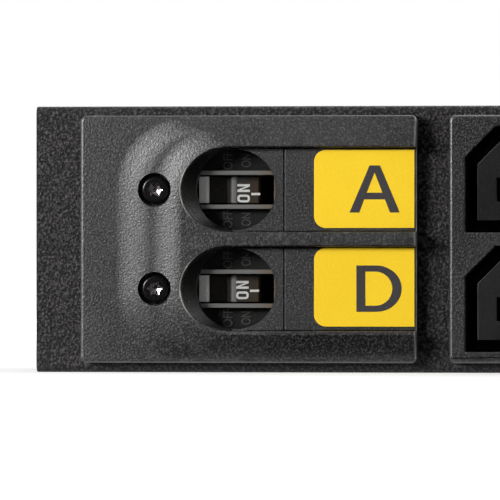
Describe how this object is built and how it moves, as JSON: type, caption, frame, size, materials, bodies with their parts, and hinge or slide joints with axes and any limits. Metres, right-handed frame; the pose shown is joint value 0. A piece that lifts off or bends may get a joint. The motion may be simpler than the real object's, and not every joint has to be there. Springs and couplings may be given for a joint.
{
  "type": "rack power distribution unit",
  "caption": "Folded sheet-metal rack power distribution unit with guarded rocker breakers in finger scoops, yellow letter labels and rows of keyed outlets.",
  "frame": {"origin": "centre of the rear face, midway between the mounting buttons", "axes": "+X along the unit towards the cord gland, +Y out of the rear face, +Z across the unit towards breaker A"},
  "size_m": [0.2339, 0.0628, 0.052],
  "materials": {
    "chassis_paint": "fine wrinkle powder coat, satin black",
    "zinc_steel": "bright zinc",
    "bezel_plastic": "finely grained black moulding",
    "label_yellow": "yellow film with a dark printed letter",
    "black_screw": "black oxide, slightly shiny",
    "breaker_plastic": "satin black moulding",
    "rocker_plastic": "satin black moulding with white legend",
    "brass": "plain",
    "outlet_plastic": "satin black moulding",
    "line_insulation": "brown",
    "neutral_insulation": "blue",
    "earth_insulation": "green",
    "gland_plastic": "satin black moulding",
    "seal_rubber": "soft black rubber",
    "terminal_plastic": "light grey moulding"
  },
  "bodies": {
    "chassis": {"front_cover": "chassis_paint", "rear_channel": "chassis_paint", "end_plate_left": "chassis_paint", "end_plate_right": "chassis_paint", "mounting_buttons": "zinc_steel", "breaker_strap": "zinc_steel", "rocker_pin_a": "zinc_steel", "rocker_pin_d": "zinc_steel", "breaker_bezel": "bezel_plastic", "outlet_bezel": "bezel_plastic", "label_plate_a": "bezel_plastic", "label_plate_d": "bezel_plastic", "label_a": "label_yellow", "label_d": "label_yellow", "bezel_screws": "black_screw", "breaker_a_case_upper": "breaker_plastic", "breaker_a_case_lower": "breaker_plastic", "breaker_d_case_upper": "breaker_plastic", "breaker_d_case_lower": "breaker_plastic", "breaker_a_insert": "brass", "breaker_d_insert": "brass", "breaker_a_line_blade": "brass", "breaker_a_load_blade": "brass", "breaker_d_line_blade": "brass", "breaker_d_load_blade": "brass", "terminal_clamps": "brass", "earth_tab": "brass", "line_bus_a": "brass", "line_bus_d": "brass", "neutral_bus_a": "brass", "neutral_bus_d": "brass", "earth_bus_a": "brass", "earth_bus_d": "brass", "outlet_a1": "outlet_plastic", "outlet_a2": "outlet_plastic", "outlet_a3": "outlet_plastic", "outlet_d1": "outlet_plastic", "outlet_d2": "outlet_plastic", "outlet_d3": "outlet_plastic", "feed_wires": "line_insulation", "load_wires": "line_insulation", "neutral_wires": "neutral_insulation", "earth_wires": "earth_insulation", "gland_body": "gland_plastic", "gland_nut": "gland_plastic", "gland_locknut": "gland_plastic", "gland_seal": "seal_rubber", "terminal_block": "terminal_plastic"},
    "rocker_a": {"rocker_a": "rocker_plastic"},
    "rocker_d": {"rocker_d": "rocker_plastic"}
  },
  "joints": [
    {"name": "rocker_a_tilt", "type": "hinge", "parent": "chassis", "child": "rocker_a", "pos_m": [-0.07035, -0.0454, 0.00965], "axis": [0, 0, -1], "range_deg": [0, 26]},
    {"name": "rocker_d_tilt", "type": "hinge", "parent": "chassis", "child": "rocker_d", "pos_m": [-0.07035, -0.0454, -0.00965], "axis": [0, 0, -1], "range_deg": [0, 26]}
  ]
}
